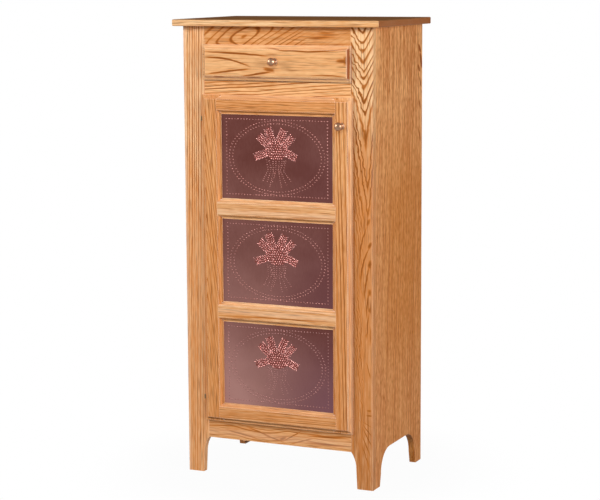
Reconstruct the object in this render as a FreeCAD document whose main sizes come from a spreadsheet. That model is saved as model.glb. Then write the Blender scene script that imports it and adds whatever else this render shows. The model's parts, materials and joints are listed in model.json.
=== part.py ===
import FreeCAD, Part
import Sketcher
import math
import operator
import os
from types import SimpleNamespace

# Oak pie safe: a face-framed case on cut-out legs, with a lipped door of three copper panels
# below a lipped, dovetailed drawer.
# X runs to the right, Y to the back and Z up. The origin is on the floor, at the middle of the
# whole piece seen from above. Sizes are millimetres.

driving_sizes = {
    # Case
    "case_width": 582,
    "case_depth": 378,
    "case_height": 1297,
    "side_thick": 19,
    "back_thick": 6,
    "back_rabbet": 9,
    "top_thick": 19,
    "top_over_front": 21,
    "top_over_side": 24.5,
    "top_over_back": 3,
    "top_round": 3,
    "floor_board_thick": 19,
    "dado_depth": 6,
    "cleat_size": 19,
    "back_rail_height": 60,
    "leg_block_size": 22,
    # Face frame
    "frame_thick": 19,
    "stile_width": 66,
    "top_rail_height": 56,
    "drawer_opening": 89.5,
    "drawer_rail_height": 56.5,
    "bottom_rail_height": 61.5,
    "apron_height": 106,
    "frame_tenon_thick": 7,
    "frame_tenon_length": 30,
    "frame_tenon_shoulder": 9,
    # Feet
    "leg_width": 48,
    "leg_taper": 3,
    "foot_radius": 80,
    "side_front_leg": 52,
    "side_back_leg": 43,
    "arch_height": 102,
    "arch_radius": 66,
    "arch_lean": 8,
    # Shelves
    "shelf_thick": 19,
    "shelf_gap": 1.5,
    "pin_radius": 3,
    "pin_depth": 9,
    "pin_reach": 12,
    "pin_inset": 45,
    # Edge moulding, shared by the door, its panel openings and the drawer front
    "ogee_radius": 4,
    "ogee_flat": 4,
    "ogee_step": 1.2,
    # Door
    "front_proud": 12.7,
    "front_thick": 22,
    "closing_gap": 0.3,
    "door_lip_side": 7,
    "door_lip_end": 9.5,
    "door_gap_hinge": 4,
    "door_gap": 1.5,
    "door_stile_width": 60.5,
    "door_top_rail_height": 54,
    "door_cross_rail_height": 59,
    "door_bottom_rail_height": 56,
    "panel_recess": 10.7,
    "panel_rabbet": 7,
    "panel_thick": 0.8,
    "panel_play": 0.5,
    "door_tenon_thick": 7,
    "door_tenon_length": 28,
    "door_tenon_shoulder": 3,
    # Drawer
    "drawer_lip_side": 3.5,
    "drawer_lip_end": 5,
    "drawer_gap": 1.5,
    "drawer_wall": 12.7,
    "drawer_back_room": 33,
    "drawer_play": 0.3,
    "drawer_head_room": 3,
    "drawer_bottom_thick": 6,
    "drawer_bottom_rise": 10,
    "drawer_groove": 6,
    "tail_slope": 2,
    "runner_thick": 19,
    "runner_reach": 20,
    "guide_height": 28,
    "stop_width": 40,
    "stop_thick": 10,
    "stop_rise": 16,
    "stop_seat": 25,
    # Knobs
    "knob_length": 30,
    "knob_radius": 12,
    "knob_base_radius": 10,
    "knob_neck_radius": 5,
    "knob_base_thick": 3,
    "knob_rim": 2,
    "knob_dome": 8.5,
    "knob_tip_radius": 1.5,
    "knob_screw_bite": 16,
    "door_knob_drop": 77,
    "drawer_knob_rise": 4.5,
    "knob_screw_radius": 2,
    # Hinges, catch and screws
    "knuckle_radius": 2.6,
    "knuckle_height": 12,
    "hinge_pin_radius": 1.2,
    "hinge_bore_play": 0.15,
    "hinge_play": 0.4,
    "leaf_thick": 1.5,
    "leaf_height": 42,
    "leaf_width": 26,
    "hinge_inset": 68.5,
    "catch_height": 14,
    "catch_depth": 12,
    "catch_nose": 23,
    "catch_foot": 20,
    "catch_gap": 0.4,
    "screw_radius": 1.8,
    "screw_head_radius": 3.4,
    "screw_head_height": 1.4,
    "screw_spread": 13,
    "hinge_screw_length": 12,
    "top_screw_bite": 12,
    "top_screw_distance": 60,
    "front_screw_bite": 14,
    "front_screw_reach": 112,
}
tail_count = 3
tail_share = 0.64
shank_sides = 12
knob_sides = 32
operations = {"+": operator.add, "-": operator.sub, "*": operator.mul, "/": operator.truediv}


class Size:
    # A length: its value, and the expression on the sheet's cells that gives it.

    def __init__(self, text, value):
        self.text = text
        self.value = value

    def __add__(self, other):
        return combine(self, "+", other)

    def __radd__(self, other):
        return combine(other, "+", self)

    def __sub__(self, other):
        return combine(self, "-", other)

    def __rsub__(self, other):
        return combine(other, "-", self)

    def __mul__(self, other):
        return combine(self, "*", other)

    def __rmul__(self, other):
        return combine(other, "*", self)

    def __truediv__(self, other):
        return combine(self, "/", other)

    def __neg__(self):
        return combine(-1, "*", self)


def as_size(value):
    if isinstance(value, Size):
        return value
    return Size(f"({value})", value)


def combine(first, sign, second):
    first = as_size(first)
    second = as_size(second)
    value = operations[sign](first.value, second.value)
    return Size(f"({first.text} {sign} {second.text})", value)


def root(size):
    return Size(f"sqrt({size.text})", math.sqrt(size.value))


doc = FreeCAD.newDocument("pie_safe")
sheet = doc.addObject("Spreadsheet::Sheet", "sizes")
for row, (alias, value) in enumerate(driving_sizes.items(), 1):
    sheet.set(f"A{row}", alias)
    sheet.set(f"B{row}", str(value))
    sheet.setAlias(f"B{row}", alias)
doc.recompute()
dim = SimpleNamespace(**{alias: Size(f"sizes.{alias}", value) for alias, value in driving_sizes.items()})

# Places that several pieces share
half_case = dim.case_width / 2
half_inside = half_case - dim.side_thick
half_opening = half_case - dim.stile_width
reach_front = dim.closing_gap + dim.front_proud + dim.knob_length
face = (reach_front - dim.case_depth - dim.top_over_back) / 2
frame_back = face + dim.frame_thick
case_back = face + dim.case_depth
inside_back = case_back - dim.back_thick
front_plane = face - dim.closing_gap
inset = dim.front_thick - dim.front_proud
drawer_top = dim.case_height - dim.top_rail_height
drawer_low = drawer_top - dim.drawer_opening
door_top = drawer_low - dim.drawer_rail_height
door_low = dim.apron_height + dim.bottom_rail_height
ogee_width = dim.ogee_flat + dim.ogee_radius * 2
lip_edge = dim.front_proud - dim.ogee_radius * 2 - dim.ogee_step
panel_seat = dim.panel_recess - dim.front_proud

pieces = []


def node(label, piece):
    piece.Label = label
    pieces.append(piece)
    return piece


def bind(piece, name, size):
    piece.setExpression(name, as_size(size).text)


def place(piece, x, y, z):
    for axis, size in zip("xyz", (x, y, z)):
        bind(piece, f"Placement.Base.{axis}", size)


def board(name, low, high):
    # A square-edged piece, from its lowest to its highest corner
    box = doc.addObject("Part::Box", name)
    for prop, start, end in zip(("Length", "Width", "Height"), low, high):
        bind(box, prop, end - start)
    place(box, *low)
    return box


def aim(piece, axis):
    piece.Placement.Rotation = FreeCAD.Rotation(FreeCAD.Vector(0, 0, 1), FreeCAD.Vector(*axis))


def rod(name, start, axis, radius, length):
    # A cylinder from a point, along an axis
    cylinder = doc.addObject("Part::Cylinder", name)
    bind(cylinder, "Radius", radius)
    bind(cylinder, "Height", length)
    aim(cylinder, axis)
    place(cylinder, *start)
    return cylinder


def peg(name, start, axis, radius, length):
    # A small round fastener, drawn with few flats
    prism = doc.addObject("Part::Prism", name)
    prism.Polygon = shank_sides
    bind(prism, "Circumradius", radius)
    bind(prism, "Height", length)
    aim(prism, axis)
    place(prism, *start)
    return prism


def cut(name, base, *tools):
    for tool in tools:
        result = doc.addObject("Part::Cut", f"{name}_cut")
        result.Base = base
        result.Tool = tool
        result.Refine = True
        base = result
    return base


def fuse(name, *shapes):
    result = doc.addObject("Part::MultiFuse", name)
    result.Shapes = shapes
    result.Refine = True
    return result


def group(name, shapes):
    result = doc.addObject("Part::Compound", name)
    result.Links = shapes
    return result


def screw(name, seat, axis, length, radius=dim.screw_radius):
    # A screw whose head stands on the seat and whose shank runs along the axis
    head_start = [point - dim.screw_head_height * step for point, step in zip(seat, axis)]
    head = peg(f"{name}_head", head_start, axis, dim.screw_head_radius, dim.screw_head_height)
    return fuse(name, head, peg(f"{name}_shank", seat, axis, radius, length))


def new_body(name, x=0, y=0, z=0):
    body = doc.addObject("PartDesign::Body", name)
    place(body, x, y, z)
    return body


def sketch(body, role, *loops):
    # A sketch on one of the body's own origin planes; each loop is a closed run of corners
    drawing = body.newObject("Sketcher::SketchObject", f"{body.Name}_sketch")
    plane = next(part for part in body.Origin.OriginFeatures if part.Role == role)
    drawing.AttachmentSupport = (plane, [""])
    drawing.MapMode = "FlatFace"
    for loop in loops:
        trace(drawing, loop)
    return drawing


def flat_point(corner):
    return FreeCAD.Vector(as_size(corner[0]).value, as_size(corner[1]).value, 0)


def trace(drawing, loop):
    # A corner is (x, y) where a line leaves it, or (x, y, radius, side) where an arc does.
    # The arc's centre is to the left of the way to the next corner for side 1, right for -1.
    first = drawing.GeometryCount
    ends = []
    radii = []
    for number, corner in enumerate(loop):
        start = flat_point(corner)
        end = flat_point(loop[(number + 1) % len(loop)])
        if len(corner) == 2:
            drawing.addGeometry(Part.LineSegment(start, end), False)
            ends.append((1, 2))
            continue
        radius, side = corner[2:]
        drawing.addGeometry(arc_between(start, end, radius.value, side), False)
        ends.append((1, 2) if side > 0 else (2, 1))
        radii.append((first + number, radius))
    for number, corner in enumerate(loop):
        geometry = first + number
        after = (number + 1) % len(loop)
        joint = (geometry, ends[number][1], first + after, ends[after][0])
        drawing.addConstraint(Sketcher.Constraint("Coincident", *joint))
        for kind, size in zip(("DistanceX", "DistanceY"), corner[:2]):
            fix_point(drawing, kind, geometry, ends[number][0], as_size(size))
    for geometry, radius in radii:
        index = drawing.addConstraint(Sketcher.Constraint("Radius", geometry, radius.value))
        bind(drawing, f"Constraints[{index}]", radius)


def fix_point(drawing, kind, geometry, end, size):
    constraint = Sketcher.Constraint(kind, -1, 1, geometry, end, size.value)
    index = drawing.addConstraint(constraint)
    bind(drawing, f"Constraints[{index}]", size)


def arc_between(start, end, radius, side):
    chord = end - start
    left = FreeCAD.Vector(-chord.y, chord.x, 0).normalize() * side
    rise = math.sqrt(max(radius ** 2 - (chord.Length / 2) ** 2, 0))
    centre = (start + end) / 2 + left * rise
    circle = Part.Circle(centre, FreeCAD.Vector(0, 0, 1), radius)
    first, last = (start, end) if side > 0 else (end, start)
    return Part.ArcOfCircle(circle, circle.parameter(first), circle.parameter(last))


def pad(body, drawing, length, reverse=False, both_ways=False):
    feature = body.newObject("PartDesign::Pad", f"{body.Name}_pad")
    feature.Profile = drawing
    bind(feature, "Length", length)
    feature.Reversed = reverse
    feature.Midplane = both_ways
    drawing.Visibility = False
    return feature


def backwards(run):
    # The same run of corners, walked the other way
    arcs = [corner[2:] for corner in run[:-1]]
    result = [run[-1][:2]]
    for number in reversed(range(len(run) - 1)):
        arc = arcs[number]
        if arc:
            result[-1] = result[-1] + (arc[0], -arc[1])
        result.append(run[number][:2])
    return result


def upright(run):
    # A run drawn as (across, depth), for a plane whose first axis is the depth
    return [(corner[1], corner[0]) + tuple((corner[2], -corner[3]) if corner[2:] else ()) for corner in run]


def ogee(edge, toward, start):
    # The moulding from the depth where the edge starts to the front face, walked toward the middle
    flat = edge + dim.ogee_flat * toward
    waist = flat + dim.ogee_radius * toward
    crest = waist + dim.ogee_radius * toward
    middle = -lip_edge - dim.ogee_radius
    return [
        (edge, start),
        (edge, -lip_edge),
        (flat, -lip_edge, dim.ogee_radius, -toward),
        (waist, middle, dim.ogee_radius, toward),
        (crest, middle - dim.ogee_radius),
        (crest, -dim.front_proud),
    ]


def end_trim(name, low, high, rebate, width):
    # What the moulding and the rebate take off the top and bottom ends of a lipped front
    waste = dim.front_thick
    loops = []
    for edge, toward in ((low, 1), (high, -1)):
        outside = edge - waste * toward
        run = ogee(edge, toward, 0)[1:-1]
        front = run + [(run[-1][0], -dim.front_proud - waste), (outside, -dim.front_proud - waste)]
        loops.append(upright(front + [(outside, -lip_edge)]))
        step = edge + rebate * toward
        back = [(outside, 0), (step, 0), (step, inset + waste), (outside, inset + waste)]
        loops.append(upright(back))
    body = new_body(name, 0, front_plane, 0)
    pad(body, sketch(body, "YZ_Plane", *loops), width + waste * 2, both_ways=True)
    return body


def edge_run(edge, toward, start, step):
    # One edge of a moulded member, from its back face round the rebate to its front face
    return [(edge + step * toward, inset), (edge + step * toward, start)] + ogee(edge, toward, start)


def mirrored(name, near, far, back_run, height_run):
    # A left and a right board, between two distances from the middle of the case
    left = board(f"{name}_left", (-far, back_run[0], height_run[0]), (-near, back_run[1], height_run[1]))
    right = board(f"{name}_right", (near, back_run[0], height_run[0]), (far, back_run[1], height_run[1]))
    return left, right


def edges_of(feature, wanted):
    # The names of a feature's edges whose middle point passes a test
    names = []
    for number, edge in enumerate(feature.Shape.Edges, 1):
        if wanted(edge.CenterOfMass):
            names.append(f"Edge{number}")
    return names


# Face frame: rails tenoned into stiles whose feet are sawn to a curve

def frame_rail(label, low, high):
    shoulders = board(f"{label}_bar", (-half_opening, face, low), (half_opening, frame_back, high))
    tenon_end = half_opening + dim.frame_tenon_length
    tenon_front = face + (dim.frame_thick - dim.frame_tenon_thick) / 2
    tenon = board(
        f"{label}_tenons",
        (-tenon_end, tenon_front, low + dim.frame_tenon_shoulder),
        (tenon_end, tenon_front + dim.frame_tenon_thick, high - dim.frame_tenon_shoulder),
    )
    return node(label, fuse(label, shoulders, tenon))


def frame_stile(name, side):
    outer = half_case * side
    inner = half_opening * side
    leg = (half_case - dim.leg_width) * side
    ankle = leg - dim.leg_taper * side
    foot_reach = dim.stile_width - dim.leg_width - dim.leg_taper
    foot_rise = root(foot_reach * (dim.foot_radius * 2 - foot_reach))
    outline = [
        (outer, 0),
        (outer, dim.case_height),
        (inner, dim.case_height),
        (inner, dim.apron_height, dim.foot_radius, -side),
        (ankle, dim.apron_height - foot_rise),
        (leg, 0),
    ]
    body = new_body(name, 0, face, 0)
    pad(body, sketch(body, "XZ_Plane", outline), dim.frame_thick, reverse=True)
    return body


# Case: sides with arched feet, a floor in dados, a rabbeted back and a top on screwed cleats

def case_side(name, low_x):
    foot_front = dim.side_front_leg
    foot_back = dim.case_depth - dim.side_back_leg
    spring = dim.arch_height - dim.arch_radius
    arch_front = foot_front + dim.arch_lean
    arch_back = foot_back - dim.arch_lean
    outline = [
        (dim.frame_thick, 0),
        (foot_front, 0),
        (arch_front, spring, dim.arch_radius, -1),
        (arch_front + dim.arch_radius, dim.arch_height),
        (arch_back - dim.arch_radius, dim.arch_height, dim.arch_radius, -1),
        (arch_back, spring),
        (foot_back, 0),
        (dim.case_depth, 0),
        (dim.case_depth, dim.case_height),
        (dim.frame_thick, dim.case_height),
    ]
    body = new_body(name, low_x, face, 0)
    pad(body, sketch(body, "YZ_Plane", outline), dim.side_thick)
    return body


def top_blank():
    half_top = half_case + dim.top_over_side
    front = -dim.top_over_front
    back = dim.case_depth + dim.top_over_back
    outline = [(-half_top, front), (half_top, front), (half_top, back), (-half_top, back)]
    body = new_body("top_blank", 0, face, dim.case_height)
    slab = pad(body, sketch(body, "XY_Plane", outline), dim.top_thick)
    doc.recompute()
    middle_height = dim.top_thick.value / 2

    def eased(point):
        level = abs(abs(point.z - middle_height) - middle_height) < middle_height / 2
        return level and point.y < back.value - dim.top_over_back.value

    rounded = body.newObject("PartDesign::Fillet", "top_rounding")
    rounded.Base = (slab, edges_of(slab, eased))
    bind(rounded, "Radius", dim.top_round)
    return body


floor_low = door_low - dim.floor_board_thick
floor_half = half_inside + dim.dado_depth
back_half = half_inside + dim.back_rabbet
bottom_board = node("bottom_board", board(
    "bottom_board", (-floor_half, frame_back, floor_low), (floor_half, inside_back, door_low)))
back_panel = node("back_panel", board(
    "back_panel", (-back_half, inside_back, floor_low), (back_half, case_back, dim.case_height)))
nailer_front = inside_back - dim.cleat_size
node("back_top_rail", board(
    "back_top_rail",
    (-half_inside, nailer_front, dim.case_height - dim.back_rail_height),
    (half_inside, inside_back, dim.case_height),
))

cleat_low = dim.case_height - dim.cleat_size
cleat_middle = half_inside - dim.cleat_size / 2
top_screws = []
for number, (side, y) in enumerate(
        (side, y) for side in (-1, 1)
        for y in (frame_back + dim.top_screw_distance, nailer_front - dim.top_screw_distance)):
    seat = (cleat_middle * side, y, cleat_low)
    length = dim.cleat_size + dim.top_screw_bite
    top_screws.append(screw(f"top_screw_{number}", seat, (0, 0, 1), length))
top_screws = node("top_screws", group("top_screws", top_screws))
cleat_run = (frame_back, nailer_front)
cleat_heights = (cleat_low, dim.case_height)
cleats = mirrored("cleat", half_inside - dim.cleat_size, half_inside, cleat_run, cleat_heights)
node("top_cleat_left", cut("top_cleat_left", cleats[0], top_screws))
node("top_cleat_right", cut("top_cleat_right", cleats[1], top_screws))
node("top_board", cut("top_board", top_blank(), top_screws))

block_run = (frame_back, frame_back + dim.leg_block_size)
blocks = mirrored(
    "leg_block", half_inside - dim.leg_block_size, half_inside, block_run, (dim.apron_height, floor_low))
node("leg_blocks", group("leg_blocks", blocks))

# Drawer carriage: runners under the drawer's sides, guides beside them and kickers above
runner_inner = half_opening - dim.runner_reach
depth_run = (frame_back, inside_back)
runner_heights = (drawer_low - dim.runner_thick, drawer_low)
guide_heights = (drawer_low, drawer_low + dim.guide_height)
kicker_heights = (drawer_top, drawer_top + dim.runner_thick)
runners = mirrored("runner", runner_inner, half_inside, depth_run, runner_heights)
guides = mirrored("guide", half_opening, half_inside, depth_run, guide_heights)
kickers = mirrored("kicker", runner_inner, half_inside, cleat_run, kicker_heights)
for kind, pair in (("drawer_runner", runners), ("drawer_guide", guides), ("drawer_kicker", kickers)):
    node(f"{kind}_left", pair[0])
    node(f"{kind}_right", pair[1])

# Places on the door
door_half = half_opening + dim.door_lip_side
door_edge_low = door_low - dim.door_lip_end
door_edge_high = door_top + dim.door_lip_end
panel_half = door_half - dim.door_stile_width
rails_height = dim.door_bottom_rail_height + dim.door_cross_rail_height * 2 + dim.door_top_rail_height
panel_height = (door_edge_high - door_edge_low - rails_height) / 3
panel_pitch = panel_height + dim.door_cross_rail_height
panel_lows = [door_edge_low + dim.door_bottom_rail_height + panel_pitch * step for step in range(3)]
door_back = front_plane + inset

# Shelves, lying on pins behind the door's two cross rails
shelf_half = half_inside - dim.shelf_gap
shelf_front = frame_back + dim.shelf_gap
shelf_rear = inside_back - dim.shelf_gap
pin_length = dim.pin_depth + dim.pin_reach
pins = []
for name, panel_low in (("lower_shelf", panel_lows[1]), ("upper_shelf", panel_lows[2])):
    shelf_low = panel_low - dim.door_cross_rail_height / 2 - dim.shelf_thick / 2
    node(name, board(
        name, (-shelf_half, shelf_front, shelf_low), (shelf_half, shelf_rear, shelf_low + dim.shelf_thick)))
    for start in (-half_inside - dim.pin_depth, half_inside - dim.pin_reach):
        for y in (shelf_front + dim.pin_inset, shelf_rear - dim.pin_inset):
            pin = (start, y, shelf_low - dim.pin_radius)
            pins.append(peg("shelf_pin", pin, (1, 0, 0), dim.pin_radius, pin_length))
shelf_pins = node("shelf_pins", group("shelf_pins", pins))
for label, low_x in (("left_side", -half_case), ("right_side", half_inside)):
    node(label, cut(label, case_side(f"{label}_blank", low_x), back_panel, bottom_board, shelf_pins))


# Hinges: a small knuckle at the door's edge, with leaves wrapped round the frame and the door

axis_x = -door_half - dim.hinge_play - dim.knuckle_radius
axis_y = face + dim.leaf_thick - dim.knuckle_radius
door_wall = -half_opening + dim.door_gap_hinge
half_knuckle = dim.knuckle_height / 2
half_leaf = dim.leaf_height / 2


def hinge(name, middle):
    up = (0, 0, 1)
    low = middle - half_knuckle
    leaf_low = middle - half_leaf
    leaf_high = middle + half_leaf
    bore_start = (axis_x, axis_y, low - dim.hinge_play)
    bore_length = dim.knuckle_height + dim.hinge_play * 2
    bore_radius = dim.hinge_pin_radius + dim.hinge_bore_play
    recess_radius = dim.knuckle_radius + dim.hinge_play
    bore = rod(f"{name}_bore", bore_start, up, bore_radius, bore_length)
    clearance = rod(f"{name}_clearance", bore_start, up, recess_radius, bore_length)
    frame_top = middle - dim.hinge_bore_play
    frame_tab = -half_opening + dim.leaf_thick
    frame_leaf = fuse(
        f"{name}_frame_parts",
        rod(f"{name}_frame_knuckle", (axis_x, axis_y, low), up, dim.knuckle_radius, frame_top - low),
        board(f"{name}_frame_strap", (axis_x, face, low), (frame_tab, face + dim.leaf_thick, frame_top)),
        board(f"{name}_frame_tab", (-half_opening, face, leaf_low), (frame_tab, frame_back, leaf_high)),
    )
    high = middle + half_knuckle
    strap_front = front_plane - dim.leaf_thick
    wall_outer = door_wall - dim.leaf_thick
    leaf_back = door_back + dim.leaf_thick
    plate_inner = door_wall + dim.leaf_width
    door_leaf = fuse(
        f"{name}_door_parts",
        rod(f"{name}_door_knuckle", (axis_x, axis_y, middle), up, dim.knuckle_radius, half_knuckle),
        board(f"{name}_door_strap", (axis_x, strap_front, middle), (door_wall, front_plane, high)),
        board(f"{name}_door_wall", (wall_outer, front_plane, leaf_low), (door_wall, leaf_back, leaf_high)),
        board(f"{name}_door_plate", (wall_outer, door_back, leaf_low), (plate_inner, leaf_back, leaf_high)),
    )
    pin = rod(f"{name}_pin", (axis_x, axis_y, low), up, dim.hinge_pin_radius, dim.knuckle_height)
    node(f"{name}_pin", pin)
    frame_screws = []
    door_screws = []
    for z in (middle - dim.screw_spread, middle + dim.screw_spread):
        frame_seat = (-half_opening, face + dim.frame_thick / 2, z)
        door_seat = (door_wall + dim.leaf_width / 2, door_back, z)
        frame_screws.append(screw(f"{name}_frame_screw", frame_seat, (-1, 0, 0), dim.hinge_screw_length))
        door_screws.append(screw(f"{name}_door_screw", door_seat, (0, -1, 0), dim.hinge_screw_length))
    frame_leaf = cut(f"{name}_frame_bored", frame_leaf, bore)
    door_leaf = cut(f"{name}_door_bored", door_leaf, bore)
    return SimpleNamespace(
        frame_leaf=frame_leaf, door_leaf=door_leaf, clearance=clearance,
        frame_screws=frame_screws, door_screws=door_screws)


hinges = {
    "lower_hinge": hinge("lower_hinge", door_edge_low + dim.hinge_inset),
    "upper_hinge": hinge("upper_hinge", door_edge_high - dim.hinge_inset),
}
frame_screws = node("hinge_frame_screws", group(
    "hinge_frame_screws", [part for item in hinges.values() for part in item.frame_screws]))
door_screws = node("hinge_door_screws", group(
    "hinge_door_screws", [part for item in hinges.values() for part in item.door_screws]))
for name, item in hinges.items():
    node(f"{name}_frame_leaf", cut(f"{name}_frame_leaf", item.frame_leaf, frame_screws))
    node(f"{name}_door_leaf", cut(f"{name}_door_leaf", item.door_leaf, door_screws))

rails = (
    frame_rail("top_rail", drawer_top, dim.case_height),
    frame_rail("drawer_rail", door_top, drawer_low),
    frame_rail("bottom_rail", dim.apron_height, door_low),
)
hinge_cuts = [cutter for item in hinges.values() for cutter in (item.frame_leaf, item.clearance)]
node("left_stile", cut("left_stile", frame_stile("left_stile_blank", -1), *rails, *hinge_cuts, frame_screws))
node("right_stile", cut("right_stile", frame_stile("right_stile_blank", 1), *rails))


# Knobs

def bend(centre, reach, radius, first, last, steps):
    # Rings along an arc of the knob's profile: each is its radius and its reach from the front face
    rings = []
    for step in range(steps + 1):
        angle = math.radians(first + (last - first) * step / steps)
        rings.append((centre + radius * math.cos(angle), reach + radius * math.sin(angle)))
    return rings


def knob(label, x, z, bolt):
    # A turned knob that stands on a front face, drawn with few flats and bored for its screw
    rim = dim.knob_length - dim.knob_dome
    flare = dim.knob_radius - dim.knob_neck_radius
    cove = dim.knob_base_radius - dim.knob_neck_radius
    dome = (dim.knob_radius * dim.knob_radius + dim.knob_dome * dim.knob_dome) / (dim.knob_dome * 2)
    rim_angle = math.degrees(math.acos(dim.knob_radius.value / dome.value))
    profile = [(dim.knob_base_radius, 0)]
    profile += bend(dim.knob_base_radius, dim.knob_base_thick + cove, cove, 270, 180, 2)
    profile += bend(dim.knob_radius, rim - dim.knob_rim - flare, flare, 180, 90, 3)
    profile += bend(0, dim.knob_length - dome, dome, rim_angle, 90, 5)[:-1]
    profile += [(dim.knob_tip_radius, dim.knob_length)]
    rings = []
    for radius, reach in profile:
        ring = doc.addObject("Part::RegularPolygon", f"{label}_ring")
        ring.Polygon = knob_sides
        bind(ring, "Circumradius", radius)
        aim(ring, (0, -1, 0))
        place(ring, x, front_plane - dim.front_proud - reach, z)
        rings.append(ring)
    turned = doc.addObject("Part::Loft", f"{label}_turned")
    turned.Sections = rings
    turned.Solid = True
    turned.Ruled = True
    turned.Linearize = True
    node(label, cut(label, turned, bolt))


door_knob_x = (door_half + panel_half) / 2
door_knob_z = door_edge_high - dim.door_knob_drop
door_knob_screw = node("door_knob_screw", screw(
    "door_knob_screw", (door_knob_x, door_back, door_knob_z), (0, -1, 0),
    dim.front_thick + dim.knob_screw_bite, dim.knob_screw_radius))
knob("door_knob", door_knob_x, door_knob_z, door_knob_screw)


# Door: coped and stuck frame, copper panels in rabbets, mitred stops behind

def door_stile(name, side, gap):
    outer = door_half * side
    inner = panel_half * side
    outline = edge_run(outer, -side, 0, dim.door_lip_side + gap)
    outline += backwards(edge_run(inner, side, panel_seat, dim.panel_rabbet))
    body = new_body(name, 0, front_plane, door_edge_low)
    pad(body, sketch(body, "XY_Plane", outline), door_edge_high - door_edge_low)
    return cut(f"{name}_trimmed", body, door_trim)


def door_rail(label, low, high, low_step, high_step):
    # Each step is the panel's rabbet, or the rebate behind the lip on the door's own edge
    starts = [panel_seat if step is dim.panel_rabbet else 0 for step in (low_step, high_step)]
    outline = edge_run(low, 1, starts[0], low_step) + backwards(edge_run(high, -1, starts[1], high_step))
    body = new_body(f"{label}_stuck", 0, front_plane, 0)
    pad(body, sketch(body, "YZ_Plane", upright(outline)), (panel_half + ogee_width) * 2, both_ways=True)
    tenon_end = panel_half + dim.panel_rabbet + dim.door_tenon_length
    tenon_front = front_plane + (panel_seat + inset - dim.door_tenon_thick) / 2
    tenon = board(
        f"{label}_tenons",
        (-tenon_end, tenon_front, low + low_step + dim.door_tenon_shoulder),
        (tenon_end, tenon_front + dim.door_tenon_thick, high - high_step - dim.door_tenon_shoulder),
    )
    coped = cut(f"{label}_coped", body, *door_stiles)
    node(label, fuse(label, coped, tenon))
    return tenon


end_rebate = dim.door_lip_end + dim.door_gap
door_trim = end_trim("door_trim", door_edge_low, door_edge_high, end_rebate, door_half * 2)
door_stiles = [door_stile("hinge_stile", -1, dim.door_gap_hinge), door_stile("latch_stile", 1, dim.door_gap)]
panel_highs = [low + panel_height for low in panel_lows]
tenons = [
    door_rail("door_bottom_rail", door_edge_low, panel_lows[0], end_rebate, dim.panel_rabbet),
    door_rail("door_lower_rail", panel_highs[0], panel_lows[1], dim.panel_rabbet, dim.panel_rabbet),
    door_rail("door_upper_rail", panel_highs[1], panel_lows[2], dim.panel_rabbet, dim.panel_rabbet),
    door_rail("door_top_rail", panel_highs[2], door_edge_high, dim.panel_rabbet, end_rebate),
]
leaf_cuts = [item.door_leaf for item in hinges.values()]
node("door_hinge_stile", cut("door_hinge_stile", door_stiles[0], *tenons, *leaf_cuts, door_screws))
node("door_latch_stile", cut("door_latch_stile", door_stiles[1], *tenons, door_knob_screw))


def panel(name, low, high):
    reach = dim.panel_rabbet - dim.panel_play
    seat = front_plane + panel_seat
    node(f"{name}_panel", board(
        f"{name}_panel",
        (-panel_half - reach, seat, low - reach),
        (panel_half + reach, seat + dim.panel_thick, high + reach),
    ))
    wide = panel_half + dim.panel_rabbet
    under = low - dim.panel_rabbet
    over = high + dim.panel_rabbet
    outer = [(-wide, under), (wide, under), (wide, over), (-wide, over)]
    inner = [(-panel_half, low), (panel_half, low), (panel_half, high), (-panel_half, high)]
    strips = []
    for here in range(4):
        after = (here + 1) % 4
        body = new_body(f"{name}_stop_{here}", 0, seat + dim.panel_thick, 0)
        outline = [outer[here], outer[after], inner[after], inner[here]]
        pad(body, sketch(body, "XZ_Plane", outline), inset - panel_seat - dim.panel_thick, reverse=True)
        strips.append(body)
    node(f"{name}_panel_stops", group(f"{name}_panel_stops", strips))


for name, low, high in zip(("lower", "middle", "upper"), panel_lows, panel_highs):
    panel(name, low, high)

# Magnetic catch behind the right stile, and its plate on the door
catch_middle = (panel_lows[1] + panel_highs[1]) / 2
catch_low = catch_middle - dim.catch_height / 2
catch_high = catch_middle + dim.catch_height / 2
catch_inner = half_opening - dim.catch_nose
plate_back = door_back + dim.leaf_thick
catch_front = plate_back + dim.catch_gap
catch_back = frame_back + dim.catch_depth
catch_outer = half_opening + dim.catch_foot
plate_outer = half_opening - dim.door_gap
node("magnet_catch", fuse(
    "magnet_catch",
    board("catch_nose", (catch_inner, catch_front, catch_low), (half_opening, catch_back, catch_high)),
    board("catch_foot", (half_opening, frame_back, catch_low), (catch_outer, catch_back, catch_high)),
))
plate = board("catch_plate", (catch_inner, door_back, catch_low), (plate_outer, plate_back, catch_high))
node("catch_plate", plate)


# Drawer: a lipped front screwed to a dovetailed box

box_half = half_opening - dim.drawer_gap
box_low = drawer_low + dim.drawer_play
box_high = drawer_top - dim.drawer_head_room
box_front = front_plane + inset
box_back = inside_back - dim.drawer_back_room


def drawer_side(name, low_x):
    # The tails stand at both ends; the pins of the front and back fill between them
    length = box_back - box_front
    height = box_high - box_low
    pitch = height / tail_count
    half_tail = pitch * tail_share / 2
    half_root = half_tail - dim.tail_slope
    outline = [(dim.drawer_wall, 0), (length - dim.drawer_wall, 0)]
    middles = [pitch * (number + 0.5) for number in range(tail_count)]
    for middle in middles:
        outline += tail(middle, length - dim.drawer_wall, length, -half_root, -half_tail)
    outline += [(length - dim.drawer_wall, height), (dim.drawer_wall, height)]
    for middle in reversed(middles):
        outline += tail(middle, dim.drawer_wall, 0, half_root, half_tail)
    body = new_body(name, low_x, box_front, box_low)
    pad(body, sketch(body, "YZ_Plane", outline), dim.drawer_wall)
    return body


def tail(middle, root_y, end_y, to_root, to_end):
    rising = [(root_y, middle + to_root), (end_y, middle + to_end)]
    return rising + [(end_y, middle - to_end), (root_y, middle - to_root)]


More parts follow.
